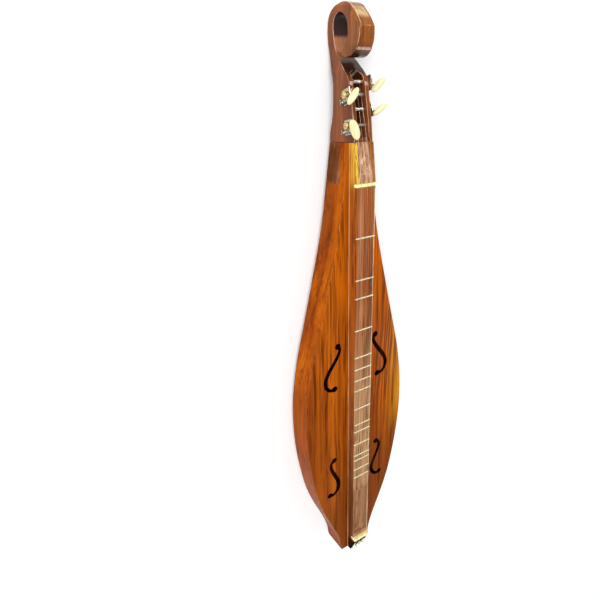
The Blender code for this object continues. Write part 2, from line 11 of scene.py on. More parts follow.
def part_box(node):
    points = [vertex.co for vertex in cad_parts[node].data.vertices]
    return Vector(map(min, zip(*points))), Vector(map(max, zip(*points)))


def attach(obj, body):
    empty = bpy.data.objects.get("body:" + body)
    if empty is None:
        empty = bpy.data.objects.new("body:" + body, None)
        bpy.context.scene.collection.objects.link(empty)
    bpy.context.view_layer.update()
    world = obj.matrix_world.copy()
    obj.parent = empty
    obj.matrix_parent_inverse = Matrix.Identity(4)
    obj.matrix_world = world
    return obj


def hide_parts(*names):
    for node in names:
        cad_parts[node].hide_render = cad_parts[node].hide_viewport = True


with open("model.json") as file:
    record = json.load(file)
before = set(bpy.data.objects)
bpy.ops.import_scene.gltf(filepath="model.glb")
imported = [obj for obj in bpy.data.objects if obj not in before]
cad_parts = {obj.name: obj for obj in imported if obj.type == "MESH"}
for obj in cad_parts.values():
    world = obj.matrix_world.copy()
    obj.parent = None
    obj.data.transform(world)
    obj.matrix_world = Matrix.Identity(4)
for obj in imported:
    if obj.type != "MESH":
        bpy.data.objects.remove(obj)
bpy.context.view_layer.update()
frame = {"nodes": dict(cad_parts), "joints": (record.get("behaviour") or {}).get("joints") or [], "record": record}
MM = 0.001
NODES = frame["nodes"]
JOINTS = {joint["name"]: joint for joint in frame["joints"]}
SCENE = bpy.context.scene
SCENE.view_settings.view_transform = "Standard"

# Each machine: name, cheek and the angle at which its button has been left, as in the CAD.
TUNERS = (("bass", -1, 106), ("melody_outer", 1, 29), ("middle", -1, 49), ("melody_inner", 1, 40))
POST_RADIUS = 2.4 * MM
HEAD_HALF = 18 * MM
# The scroll's hole, seen from the side: its centre as y and z, and half its length and height.
HOLE_CENTRE = (456 * MM, 31 * MM)
HOLE_HALF = (26.2 * MM, 20.5 * MM)
# The chamfer that is cut on the scroll, and what its right side and the pegbox's cheeks get of it.
CHAMFER = 4.4 * MM
RIGHT_SHARE = 0.22
CHEEK_SHARE = 0.4
# Tuner buttons: half their length, thickness and width, and their centre's distance from the worm.
BUTTON_HALF = (14 * MM, 4 * MM, 8.4 * MM)
BUTTON_CENTRE = 18.5 * MM
BUTTON_GROOVE = 1.1 * MM
# Each string: x of its winding on the post, its radius in the CAD, its real radius and its turns.
STRINGS = {
    "bass": (-6 * MM, 0.34 * MM, 0.27 * MM, 3.5),
    "middle": (-2.5 * MM, 0.26 * MM, 0.18 * MM, 5),
    "melody_inner": (2.5 * MM, 0.2 * MM, 0.14 * MM, 6),
    "melody_outer": (6 * MM, 0.2 * MM, 0.14 * MM, 6),
}
# The twisted end of each string at its hitch pin.
LOOP_BELOW_PIN_TOP = 1.9 * MM
LOOP_RADIUS = 1.35 * MM
LOOP_WIRE = 0.5 * MM
TWIST_RADIUS = 0.6 * MM
TWIST_WIRE = 0.55 * MM
TWIST_TURNS = 5.5
TWIST_LENGTH = 21 * MM
# The studio: how bright the world is at the horizon and overhead, and the key light.
HORIZON = 0.85
OVERHEAD = 0.33
OVERHEAD_FROM = 0.3
KEY_STRENGTH = 3.1
KEY_SPREAD = math.radians(45)
FLOOR_SIZE = 40


def linear(red, green, blue):
    """A display colour, 0 to 255, as a linear one."""
    def one(value):
        value /= 255
        return value / 12.92 if value <= 0.04045 else ((value + 0.055) / 1.055) ** 2.4
    return (one(red), one(green), one(blue), 1)


class Shader:
    """A material and short ways to add nodes to it."""

    def __init__(self, name, roughness=0.4, metallic=0.0, coat=0.0, specular=0.5):
        self.material = bpy.data.materials.new(name)
        self.material.use_nodes = True
        self.tree = self.material.node_tree
        self.bsdf = self.tree.nodes["Principled BSDF"]
        self.bsdf.inputs["Roughness"].default_value = roughness
        self.bsdf.inputs["Metallic"].default_value = metallic
        self.bsdf.inputs["Coat Weight"].default_value = coat
        self.bsdf.inputs["Coat Roughness"].default_value = 0.05
        self.bsdf.inputs["Specular IOR Level"].default_value = specular
        self.place = self.tree.nodes.new("ShaderNodeTexCoord").outputs["Object"]
        split = self.node("ShaderNodeSeparateXYZ", Vector=self.place)
        self.x, self.y, self.z = split.outputs

    def node(self, kind, settings=None, **inputs):
        made = self.tree.nodes.new(kind)
        for key, value in (settings or {}).items():
            setattr(made, key, value)
        for key, value in inputs.items():
            self.feed(made.inputs[key.replace("_", " ")], value)
        return made

    def feed(self, socket, value):
        if isinstance(value, bpy.types.NodeSocket):
            self.tree.links.new(value, socket)
        else:
            socket.default_value = value

    def math(self, operation, a, b=0.0, c=0.0):
        made = self.tree.nodes.new("ShaderNodeMath")
        made.operation = operation
        for socket, value in zip(made.inputs, (a, b, c)):
            self.feed(socket, value)
        return made.outputs[0]

    def ramp(self, value, low, high):
        """0 at low, 1 at high, eased between."""
        made = self.node("ShaderNodeMapRange", {"interpolation_type": "SMOOTHSTEP"}, Value=value)
        made.inputs["From Min"].default_value = low
        made.inputs["From Max"].default_value = high
        return made.outputs["Result"]

    def scaled(self, sx, sy, sz, source=None):
        made = self.node("ShaderNodeMapping", Vector=source or self.place)
        made.inputs["Scale"].default_value = (sx, sy, sz)
        return made.outputs[0]

    def noise(self, vector, detail=4.0, roughness=0.55, distortion=0.0):
        made = self.node("ShaderNodeTexNoise", Vector=vector)
        made.inputs["Scale"].default_value = 1.0
        made.inputs["Detail"].default_value = detail
        made.inputs["Roughness"].default_value = roughness
        made.inputs["Distortion"].default_value = distortion
        return made.outputs[0]

    def colours(self, value, stops):
        made = self.node("ShaderNodeValToRGB", Fac=value)
        elements = made.color_ramp.elements
        while len(elements) < len(stops):
            elements.new(0.5)
        for element, (position, colour) in zip(elements, stops):
            element.position = position
            element.color = colour
        return made.outputs[0]

    def mix(self, share, a, b):
        made = self.tree.nodes.new("ShaderNodeMix")
        made.data_type = "RGBA"
        self.feed(made.inputs[0], share)
        self.feed(made.inputs[6], a)
        self.feed(made.inputs[7], b)
        return made.outputs[2]

    def bump(self, height, distance, strength=1.0):
        made = self.node("ShaderNodeBump", Height=height)
        made.inputs["Distance"].default_value = distance
        made.inputs["Strength"].default_value = strength
        self.tree.links.new(made.outputs[0], self.bsdf.inputs["Normal"])

    def colour(self, value):
        self.feed(self.bsdf.inputs["Base Color"], value)


def grain_lines(made, vector, scale, half):
    """Thin lines that follow the grain: where a stretched noise passes its middle value."""
    level = made.noise(made.scaled(scale, 1.3, scale, vector), detail=2.5, roughness=0.5, distortion=0.3)
    gap = made.math("ABSOLUTE", made.math("SUBTRACT", level, 0.5))
    return made.ramp(gap, half, half * 0.25)


def wood(name, stops, streak, pores=0.3, roughness=0.3, specular=0.12, figure=1.0, seed=0.0,
         lines=(0.75, 0.45), tint=None, grain=75):
    """Lacquered wood with its grain along Y: soft bands, thin dark growth lines and fine pores."""
    made = Shader(name, roughness, specular=specular)
    shifted = made.node("ShaderNodeVectorMath", {"operation": "ADD"})
    made.feed(shifted.inputs[0], made.place)
    shifted.inputs[1].default_value = (seed, seed * 0.7, seed * 0.3)
    base = shifted.outputs[0]
    sway = made.noise(made.scaled(7, 3.4, 7, base), detail=2)
    swayed = made.node("ShaderNodeVectorMath", {"operation": "MULTIPLY_ADD"})
    made.feed(swayed.inputs[0], sway)
    swayed.inputs[1].default_value = (0.05 * figure, 0, 0.03 * figure)
    made.feed(swayed.inputs[2], base)
    flow = swayed.outputs[0]
    bands = made.noise(made.scaled(48, 1.6, 36, flow), detail=4, roughness=0.6, distortion=0.4)
    fibres = made.noise(made.scaled(420, 5, 320, flow), detail=3, roughness=0.6)
    patches = made.noise(made.scaled(14, 4.5, 14, base), detail=3)
    tone = made.math("MULTIPLY_ADD", made.math("SUBTRACT", fibres, 0.5), 0.5, bands)
    tone = made.math("MULTIPLY_ADD", made.math("SUBTRACT", patches, 0.5), 0.4, tone)
    colour = made.colours(tone, stops)
    if tint:
        colour = tint(made, colour)
    broken = made.ramp(made.noise(made.scaled(60, 7, 60, base), detail=3), 0.32, 0.6)
    for scale, half, strength in ((grain, 0.04, lines[0]), (grain * 2.4, 0.06, lines[1])):
        mask = made.math("MULTIPLY", grain_lines(made, flow, scale, half), broken)
        colour = made.mix(made.math("MULTIPLY", mask, strength), colour, streak)
    pore = made.noise(made.scaled(1500, 38, 1500, base), detail=2, roughness=0.5)
    pore_mask = made.ramp(pore, 0.6, 0.72)
    colour = made.mix(made.math("MULTIPLY", pore_mask, pores), colour, streak)
    made.colour(colour)
    made.bump(made.math("MULTIPLY_ADD", pore_mask, -0.6, fibres), 0.00009, 0.3)
    return made.material


def brushed(name, colour, roughness, metallic=1.0):
    """Plated or polished metal with faint tarnish."""
    made = Shader(name, roughness, metallic=metallic)
    cloud = made.noise(made.scaled(240, 240, 240), detail=5, roughness=0.6)
    dark = tuple(channel * 0.55 for channel in colour[:3]) + (1,)
    made.colour(made.mix(made.ramp(cloud, 0.42, 0.75), colour, dark))
    made.feed(made.bsdf.inputs["Roughness"], made.math("MULTIPLY_ADD", cloud, 0.3, roughness - 0.12))
    made.bump(cloud, 0.00005, 0.4)
    return made.material


def wall_of(made):
    """1 where a face stands upright, 0 where it faces up or down."""
    facing = made.node("ShaderNodeNewGeometry").outputs["Normal"]
    upright = made.node("ShaderNodeSeparateXYZ", Vector=facing).outputs[2]
    return made.ramp(made.math("ABSOLUTE", upright), 0.75, 0.5)


def within(made, value, low, high, soft=0.02):
    """1 between low and high, easing out over soft."""
    rise = made.ramp(value, low - soft, low + soft)
    return made.math("MULTIPLY", rise, made.ramp(value, high + soft, high - soft))


def board_tint(made, colour):
    """Golden up high and along the right edge, browner to the left, lower down and towards the tail; painted shade
    darkens the lower right, a strip beside the fretboard and the f-holes' walls.
    """
    left = made.math("MULTIPLY", made.ramp(made.x, -0.045, -0.09), within(made, made.y, -0.33, -0.03, 0.08))
    colour = made.mix(made.math("MULTIPLY", left, 0.6), colour, linear(128, 54, 4))
    right = made.math("MULTIPLY", made.ramp(made.x, 0.066, 0.098), within(made, made.y, -0.24, 0.05, 0.06))
    colour = made.mix(made.math("MULTIPLY", right, 0.75), colour, linear(208, 136, 6))
    # Painted shade: darker over the lower right of the board, where less light falls.
    under = made.math("MULTIPLY", made.ramp(made.x, 0.01, 0.03), made.ramp(made.y, -0.14, -0.3))
    colour = made.mix(made.math("MULTIPLY", under, 0.65), colour, linear(108, 50, 3))
    high = made.ramp(made.y, -0.02, 0.1)
    colour = made.mix(made.math("MULTIPLY", high, 0.55), colour, linear(206, 104, 7))
    low = made.ramp(made.y, -0.26, -0.43)
    colour = made.mix(made.math("MULTIPLY", low, 0.7), colour, linear(116, 58, 20))
    lower = made.ramp(made.y, -0.12, -0.26)
    colour = made.mix(made.math("MULTIPLY", lower, 0.35), colour, linear(124, 58, 8))
    # Painted shade: a darker strip along the foot of the fretboard.
    beside = within(made, made.math("ABSOLUTE", made.x), 0.0, 0.026, 0.006)
    colour = made.mix(made.math("MULTIPLY", beside, 0.35), colour, linear(104, 48, 8))
    # Painted shade: the walls of the f-holes are painted near-black.
    holes = within(made, made.math("ABSOLUTE", made.x), 0.03, 0.074, 0.004)
    long_way = made.math("MAXIMUM", within(made, made.y, -0.1, -0.004, 0.004),
                         within(made, made.y, -0.338, -0.24, 0.004))
    inside = made.math("MULTIPLY", made.math("MULTIPLY", holes, long_way), wall_of(made))
    return made.mix(inside, colour, (0.004, 0.002, 0.001, 1))


def side_tint(made, colour):
    """Browner towards the back at the head end, which is painted shade, with the brown end of the head block's
    cover near the seam, and the inside face of the back painted near-black as shade.
    """
    up = made.node("ShaderNodeSeparateXYZ", Vector=made.node("ShaderNodeNewGeometry").outputs["Normal"])
    # Painted shade: the inside face of the back, seen through the f-holes, is painted near-black.
    inner = made.math("MULTIPLY", made.ramp(up.outputs[2], 0.6, 0.9), made.ramp(made.z, 0.03, 0.025))
    colour = made.mix(made.math("MULTIPLY", inner, 0.9), colour, (0.01, 0.006, 0.004, 1))
    # Painted shade: browner near the back at the head end, where the side is in shade.
    back = made.math("MULTIPLY", made.ramp(made.z, 0.036, 0.022), made.ramp(made.y, 0.1, 0.2))
    colour = made.mix(made.math("MULTIPLY", back, 0.55), colour, linear(116, 62, 26))
    front = made.math("MULTIPLY", made.ramp(made.z, 0.038, 0.05), made.ramp(made.y, -0.06, 0.04))
    colour = made.mix(made.math("MULTIPLY", front, 0.5), colour, linear(196, 100, 8))
    low = made.ramp(made.y, -0.2, -0.36)
    colour = made.mix(made.math("MULTIPLY", low, 0.5), colour, linear(122, 58, 22))
    height = made.math("MULTIPLY_ADD", made.math("SUBTRACT", made.y, 0.262), -0.2, 0.0465)
    inside = made.ramp(made.math("SUBTRACT", made.z, height), 0.0012, -0.0012)
    bend = made.math("POWER", made.math("DIVIDE", made.math("SUBTRACT", made.z, 0.032), 0.02), 2.0)
    line = made.math("MULTIPLY_ADD", bend, 0.006, 0.2525)
    above = made.ramp(made.math("SUBTRACT", made.y, line), -0.0008, 0.0012)
    patch = made.math("MULTIPLY", inside, above)
    pale = made.noise(made.scaled(110, 16, 110), detail=4)
    patch_colour = made.colours(pale, ((0.32, linear(72, 38, 18)), (0.5, linear(112, 66, 36)),
                                       (0.72, linear(172, 122, 86))))
    return made.mix(made.math("MULTIPLY", patch, 0.92), colour, patch_colour)


def head_tint(made, colour):
    """Painted shade in the scroll's hole, under its tip and in the pegbox; painted light on the scroll's top, a
    painted highlight on its top facet, and painted glints on slanting arrises.
    """
    along = made.math("DIVIDE", made.math("SUBTRACT", made.y, HOLE_CENTRE[0]), HOLE_HALF[0])
    above = made.math("DIVIDE", made.math("SUBTRACT", made.z, HOLE_CENTRE[1]), HOLE_HALF[1])
    reach = made.math("ADD", made.math("POWER", along, 2.0), made.math("POWER", above, 2.0))
    facing = made.node("ShaderNodeSeparateXYZ", Vector=made.node("ShaderNodeNewGeometry").outputs["Normal"])
    inward = made.ramp(made.math("ABSOLUTE", facing.outputs[0]), 0.8, 0.55)
    # Painted shade and light in the scroll's hole: dark above, lighter brown on the lower wall.
    hole = made.math("MULTIPLY", made.ramp(reach, 1.12, 0.98), inward)
    hole_shade_colour = made.mix(made.ramp(made.y, 0.4545, 0.4485), linear(46, 40, 42), linear(176, 116, 84))
    colour = made.mix(made.math("MULTIPLY", hole, 0.92), colour, hole_shade_colour)
    # Painted shadow under the scroll's tip and on the throat below it.
    under = made.math("MULTIPLY", within(made, made.y, 0.401, 0.432, 0.006),
                      within(made, made.z, 0.032, 0.062, 0.003))
    colour = made.mix(made.math("MULTIPLY", made.math("MULTIPLY", under, inward), 0.92), colour,
                      linear(34, 20, 16))
    # Painted shade deep inside the pegbox's slot.
    wide = made.ramp(made.math("ABSOLUTE", made.x), 0.0104, 0.0098)
    box = made.math("MULTIPLY", wide, made.ramp(made.y, 0.412, 0.407))
    deep = made.math("MULTIPLY", box, made.ramp(made.z, 0.056, 0.048))
    colour = made.mix(made.math("MULTIPLY", deep, 0.8), colour, linear(30, 14, 8))
    # Painted light: the top of the scroll is lighter brown, standing in for a glint light.
    painted_top_light = made.ramp(made.z, 0.046, 0.06)
    painted_top_light = made.math("MULTIPLY", painted_top_light, made.ramp(made.y, 0.428, 0.44))
    colour = made.mix(made.math("MULTIPLY", painted_top_light, 0.3), colour, linear(182, 112, 50))
    # Painted highlight: a pale glare across the middle of the scroll's top facet.
    bright = made.math("MULTIPLY", within(made, made.y, 0.469, 0.482, 0.003), made.ramp(made.z, 0.045, 0.05))
    centre = made.ramp(made.math("ABSOLUTE", made.x), 0.0105, 0.0075)
    bright = made.math("MULTIPLY", bright, centre)
    colour = made.mix(made.math("MULTIPLY", bright, 0.6), colour, linear(224, 196, 138))
    # Painted glints: pale on upward slanting faces along arrises and chamfers, broken up by noise.
    slanted = within(made, made.math("ABSOLUTE", facing.outputs[0]), 0.2, 0.56, 0.07)
    painted_glint = made.math("MULTIPLY", slanted, made.ramp(facing.outputs[2], 0.05, 0.3))
    patchy = made.ramp(made.noise(made.scaled(38, 38, 38), detail=3), 0.36, 0.56)
    painted_glint = made.math("MULTIPLY", painted_glint, made.math("MULTIPLY_ADD", patchy, 0.6, 0.25))
    return made.mix(painted_glint, colour, linear(238, 204, 176))


ORANGE = ((0.22, linear(118, 52, 4)), (0.4, linear(150, 70, 5)), (0.56, linear(180, 88, 6)),
          (0.78, linear(210, 112, 10)))
SIDE_ORANGE = ((0.22, linear(108, 46, 3)), (0.42, linear(142, 63, 4)), (0.58, linear(168, 80, 5)),
               (0.8, linear(198, 104, 9)))
REDDISH = ((0.2, linear(84, 40, 14)), (0.42, linear(118, 60, 22)), (0.6, linear(140, 76, 30)),
           (0.8, linear(166, 98, 44)))
MAUVE = ((0.22, linear(98, 44, 20)), (0.42, linear(138, 76, 38)), (0.56, linear(164, 98, 54)),
         (0.74, linear(204, 148, 104)))
# The inside wood is darker than raw wood: partly its own colour, partly painted shade inside the closed body.
PALE = ((0.2, linear(70, 46, 26)), (0.5, linear(96, 66, 38)), (0.8, linear(120, 86, 52)))


NECK_SPECULAR = 0.07
NECK_ROUGHNESS = 0.28


def fretboard_tint(made, colour):
    """Top worn pale, orange sides, a painted glint along the right arris, painted highlights on the rims beside
    the channel and on the scratches in its floor, and the tail behind the bridge painted near-black as shade.
    """
    fresh = made.math("MULTIPLY", made.ramp(made.y, 0.02, 0.1), 0.35)
    colour = made.mix(fresh, colour, linear(168, 88, 30))
    worn = made.ramp(made.y, 0.1, -0.2)
    colour = made.mix(made.math("MULTIPLY", worn, 0.6), colour, linear(206, 170, 124))
    dip = made.ramp(made.y, -0.31, -0.33)
    colour = made.mix(made.math("MULTIPLY", dip, 0.6), colour, linear(156, 108, 74))
    # Painted highlight: golden rims beside the channel, strongest on the left.
    head = made.ramp(made.y, 0.246, 0.258)
    left = made.ramp(made.x, 0.0, -0.012)
    rim = made.ramp(made.math("ABSOLUTE", made.x), 0.0112, 0.0122)
    gold = made.math("MULTIPLY", made.math("MULTIPLY", head, rim), made.math("MULTIPLY_ADD", left, 0.85, 0.1))
    colour = made.mix(gold, colour, linear(240, 190, 74))
    # The channel's floor: scratches, whose pale streaks are painted highlights.
    floor = made.math("MULTIPLY", head, made.math("SUBTRACT", 1.0, rim))
    scratch = made.noise(made.scaled(240, 28, 240), detail=5, roughness=0.7, distortion=1.2)
    scratches_and_glints = made.colours(scratch, ((0.3, linear(140, 88, 56)), (0.5, linear(196, 148, 106)),
                                          (0.68, linear(244, 222, 196))))
    colour = made.mix(made.math("MULTIPLY", floor, 0.85), colour, scratches_and_glints)
    side = made.math("MULTIPLY", made.ramp(made.math("ABSOLUTE", made.x), 0.0176, 0.0179),
                     made.ramp(made.z, 0.0764, 0.0756))
    side_colour = made.mix(made.ramp(made.y, 0.2, -0.46), linear(190, 98, 20), linear(84, 28, 0))
    gilt = made.math("MULTIPLY", made.ramp(made.y, 0.236, 0.27), made.ramp(made.z, 0.0585, 0.066))
    side_colour = made.mix(gilt, side_colour, linear(232, 170, 48))
    colour = made.mix(made.math("MULTIPLY", side, 0.82), colour, side_colour)
    # Painted glint: a pale line along the right arris of the top, broken by noise.
    arris = made.math("MULTIPLY", made.ramp(made.x, 0.0166, 0.017), made.ramp(made.z, 0.0725, 0.0735))
    arris = made.math("MULTIPLY", arris, made.ramp(made.y, 0.252, 0.244))
    arris_glint_breaks = made.ramp(made.noise(made.scaled(20, 30, 20), detail=3), 0.2, 0.5)
    colour = made.mix(made.math("MULTIPLY", arris, arris_glint_breaks), colour, linear(246, 214, 172))
    # Painted shade: the ramp behind the bridge is painted near-black, over end grain.
    tail = made.ramp(made.y, -0.4585, -0.4615)
    matt = made.math("MAXIMUM", tail, made.math("MULTIPLY", side, 0.75))
    made.feed(made.bsdf.inputs["Specular IOR Level"],
              made.math("MULTIPLY_ADD", matt, -NECK_SPECULAR, NECK_SPECULAR))
    made.feed(made.bsdf.inputs["Roughness"], made.math("MULTIPLY_ADD", tail, 0.6, NECK_ROUGHNESS))
    return made.mix(made.math("MULTIPLY", tail, 0.97), colour, linear(12, 6, 3))


def body_of(node):
    """The moving body that a CAD node belongs to."""
    for body, members in frame["record"]["behaviour"]["bodies"].items():
        if node in members:
            return body
    return "root"


def add_piece(obj, body, replaces=()):
    """Links a piece, lets it ride on its body, and hides the CAD nodes that it replaces."""
    if obj.name not in SCENE.collection.objects:
        SCENE.collection.objects.link(obj)
    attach(obj, body)
    if replaces:
        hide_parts(*replaces)
    return obj


def clean_copy(node, name):
    """A copy of a CAD node whose triangles are merged back into flat faces."""
    mesh = NODES[node].data.copy()
    mesh.materials.clear()
    cage = bmesh.new()
    cage.from_mesh(mesh)
    bmesh.ops.remove_doubles(cage, verts=cage.verts, dist=1e-6)
    bmesh.ops.dissolve_limit(cage, angle_limit=math.radians(0.6), verts=cage.verts, edges=cage.edges)
    cage.to_mesh(mesh)
    cage.free()
    return bpy.data.objects.new(name, mesh)


def softened(node, width, material, segments=2, angle=40):
    """The CAD shape with its sharp edges worn round."""
    obj = clean_copy(node, f"look_{node}")
    obj.data.materials.append(material)
    add_piece(obj, body_of(node), [node])
    bevel = obj.modifiers.new("worn_edges", "BEVEL")
    bevel.width = width
    bevel.segments = segments
    bevel.limit_method = "ANGLE"
    bevel.angle_limit = math.radians(angle)
    bevel.use_clamp_overlap = True
    obj.data.shade_smooth()
    normals = obj.modifiers.new("normals", "WEIGHTED_NORMAL")
    normals.keep_sharp = False
    return obj


def thinned(node, radius):
    """The CAD string at its real gauge: the solid in the frame is thicker, so that it can be handled."""
    obj = clean_copy(node, f"look_{node}")
    obj.data.materials.append(STEEL)
    obj.data.shade_smooth()
    inward = STRINGS[node.removeprefix("string_")][1] - radius
    moved = [vertex.co - vertex.normal * inward for vertex in obj.data.vertices]
    for vertex, place in zip(obj.data.vertices, moved):
        vertex.co = place
    return add_piece(obj, body_of(node), [node])


def apply_modifiers(obj):
    """Bakes an object's modifiers into its mesh."""
    graph = bpy.context.evaluated_depsgraph_get()
    mesh = bpy.data.meshes.new_from_object(obj.evaluated_get(graph))
    obj.modifiers.clear()
    obj.data = mesh


def clamped(value, low=0, high=1):
    return min(max(value, low), high)


def chamfer_share(place):
    """How much of the full chamfer an arris of the head gets at a place."""
    side = 1 if place.x < 0 else RIGHT_SHARE
    from_hole = Vector((place.y - HOLE_CENTRE[0], place.z - HOLE_CENTRE[1])).length
    if abs(place.x) > 12 * MM and from_hole > 27 * MM and place.y > 430 * MM:
        back = clamped((place.z - 20 * MM) / (16 * MM), 0.25)
        front = clamped((place.y - 455 * MM) / (8 * MM))
        return back * front * side
    if abs(place.x) > 14 * MM and place.z > 40 * MM and 318 * MM < place.y < 380 * MM:
        return CHEEK_SHARE
    return 0


def weigh_chamfers(mesh):
    """Stores each sharp edge's share of the chamfer as its bevel weight."""
    cage = bmesh.new()
    cage.from_mesh(mesh)
    layer = cage.edges.layers.float.new("bevel_weight_edge")
    for edge in cage.edges:
        if len(edge.link_faces) == 2 and edge.calc_face_angle() > math.radians(50):
            edge[layer] = chamfer_share((edge.verts[0].co + edge.verts[1].co) / 2)
    cage.to_mesh(mesh)
    cage.free()


def thicken_cheeks(mesh):
    """A little more wood in front of the uppermost post, where the CAD's wall is thinner than a voxel."""
    bore = JOINTS["post_melody_inner_turn"]["pos_m"]
    for vertex in mesh.vertices:
        place = vertex.co
        from_axis = Vector((place.y - bore[1], place.z - bore[2])).length
        if place.z > 50 * MM and from_axis > POST_RADIUS + 0.4 * MM:
            headward = clamped((406 * MM - place.y) / (9 * MM))
            tailward = clamped((place.y - 370 * MM) / (16 * MM))
            place.z += 1.1 * MM * headward * tailward


def carved(node, voxel, rounds, material):
    """The CAD shape with every edge rounded as a carver's sandpaper leaves it."""
    obj = clean_copy(node, f"look_{node}")
    add_piece(obj, body_of(node), [node])
    weigh_chamfers(obj.data)
    thicken_cheeks(obj.data)
    chamfer = obj.modifiers.new("chamfer", "BEVEL")
    chamfer.width = CHAMFER
    chamfer.segments = 1
    chamfer.limit_method = "WEIGHT"
    chamfer.use_clamp_overlap = False
    remesh = obj.modifiers.new("remesh", "REMESH")
    remesh.mode = "VOXEL"
    remesh.voxel_size = voxel
    smooth = obj.modifiers.new("smooth", "SMOOTH")
    smooth.factor = 0.5
    smooth.iterations = rounds
    apply_modifiers(obj)
    obj.data.materials.clear()
    obj.data.materials.append(material)
    obj.data.shade_smooth()
    return obj


def taper_hole(mesh):
    """The scroll's hole narrows a little towards its right mouth, as a gouge leaves it."""
    for vertex in mesh.vertices:
        place = vertex.co
        below = HOLE_CENTRE[1] - place.z
        reach = Vector(((place.y - HOLE_CENTRE[0]) / HOLE_HALF[0], below / HOLE_HALF[1])).length
        if below > 0 and reach < 1.3:
            deep = clamped((place.x + 13 * MM) / (26 * MM))
            fade = clamped((1.3 - reach) / 0.3) * min(below / (8 * MM), 1)
            place.z += 2.6 * MM * deep * fade


def give(node, material):
    """A better material for a CAD node that stays."""
    obj = NODES[node]
    obj.data.materials.clear()
    obj.data.materials.append(material)


def tube(name, points, radius, material, body, closed=False, resolution=3):
    """A round wire or bead through the points."""
    curve = bpy.data.curves.new(name, "CURVE")
    curve.dimensions = "3D"
    curve.bevel_depth = radius
    curve.bevel_resolution = resolution
    curve.use_fill_caps = True
    spline = curve.splines.new("POLY")
    spline.points.add(len(points) - 1)
    for point, place in zip(spline.points, points):
        point.co = (*place, 1)
    spline.use_cyclic_u = closed
    curve.materials.append(material)
    return add_piece(bpy.data.objects.new(name, curve), body)


def lathe(name, profile, place, material, body, sides=28):
    """A turned piece: (radius, height) pairs spun round the local Z axis."""
    cage = bmesh.new()
    rings = []
    for radius, height in profile:
        rings.append([
            cage.verts.new((radius * math.cos(a), radius * math.sin(a), height))
            for a in (2 * math.pi * i / sides for i in range(sides))
        ])
    for low, high in zip(rings, rings[1:]):
        for i in range(sides):
            j = (i + 1) % sides
            cage.faces.new((low[i], low[j], high[j], high[i]))
    cage.faces.new(list(reversed(rings[0])))
    cage.faces.new(rings[-1])
    cage.transform(place)
    mesh = bpy.data.meshes.new(name)
    cage.to_mesh(mesh)
    cage.free()
    mesh.materials.append(material)
    mesh.shade_smooth()
    mesh.set_sharp_from_angle(angle=math.radians(40))
    return add_piece(bpy.data.objects.new(name, mesh), body)


def frame_at(origin, x_axis, y_axis, z_axis):
    """The matrix of a local frame, from its origin and its axes in world space."""
    turn = Matrix((x_axis, y_axis, z_axis)).transposed().to_4x4()
    return Matrix.Translation(origin) @ turn


# Materials.
BOARD = wood("board_wood", ORANGE, linear(74, 28, 3), tint=board_tint, specular=0.08, figure=0.45,
             grain=105)
SIDES = wood("side_wood", SIDE_ORANGE, linear(84, 34, 6), tint=side_tint, seed=1.7, specular=0.02,
             roughness=0.34, lines=(0.55, 0.4), figure=0.45)
HEAD = wood("head_wood", REDDISH, linear(66, 32, 16), tint=head_tint, seed=3.1, specular=0.22,
            roughness=0.17, lines=(0.35, 0.35), grain=60)
NECK = wood("fretboard_wood", MAUVE, linear(86, 36, 20), tint=fretboard_tint, seed=5.3, pores=0.45,
            specular=NECK_SPECULAR, roughness=NECK_ROUGHNESS, lines=(0.75, 0.65), grain=140, figure=0.6)
BARE = wood("bare_wood", PALE, linear(58, 36, 20), seed=7.9, roughness=0.8)
NICKEL = brushed("nickel", (0.5, 0.48, 0.43, 1), 0.2)
FRET_METAL = brushed("fret_metal", (0.92, 0.84, 0.56, 1), 0.42, metallic=0.3)


def make_bone(name, light, dark):
    """A pale, faintly clouded and translucent material."""
    made = Shader(name, 0.35, coat=0.3, specular=0.4)
    cloud = made.noise(made.scaled(160, 60, 160), detail=5)
    made.colour(made.colours(cloud, ((0.3, dark), (0.7, light))))
    fine = made.noise(made.scaled(900, 200, 900), detail=2)
    made.bump(fine, 0.00006, 0.4)
    made.bsdf.inputs["Subsurface Weight"].default_value = 0.15
    made.bsdf.inputs["Subsurface Radius"].default_value = (0.002, 0.0012, 0.0006)
    return made.material


BONE = make_bone("bone", linear(255, 247, 188), linear(248, 232, 156))
# Painted highlight: the steel loops and twisted ends at the hitch pins get a near-white bone colour for the light
# they catch.
TWIST_HIGHLIGHT = make_bone("string_twist_highlight", linear(250, 244, 224), linear(226, 216, 190))
IVORY = make_bone("ivory_plastic", linear(244, 234, 186), linear(232, 216, 156))


def make_steel():
    """String wire: painted near-white where it leaves the nut for the pegbox, as a highlight against the dark
    slot, and dull over the frets.
    """
    made = Shader("steel_wire", 0.36, metallic=1.0)
    # Painted highlight: near-white where the strings run from the nut to the posts.
    made.colour(made.mix(made.ramp(made.y, 0.245, 0.275), (0.46, 0.4, 0.34, 1), (0.95, 0.93, 0.9, 1)))
    fine = made.noise(made.scaled(900, 300, 900), detail=2)
    made.bump(fine, 0.00003, 0.4)
    return made.material


STEEL = make_steel()


def make_post_material():
    """Nickel post inside the pegbox, brass gear outside the cheek."""
    made = Shader("post_metal", 0.28, metallic=1.0)
    outside = made.ramp(made.math("ABSOLUTE", made.x), 0.0205, 0.0207)
    cloud = made.noise(made.scaled(240, 240, 240), detail=5, roughness=0.6)
    colour = made.mix(outside, (0.82, 0.8, 0.76, 1), (0.86, 0.6, 0.24, 1))
    made.colour(made.mix(made.ramp(cloud, 0.45, 0.8), colour, (0.4, 0.3, 0.16, 1)))
    made.bump(cloud, 0.00005, 0.4)
    return made.material


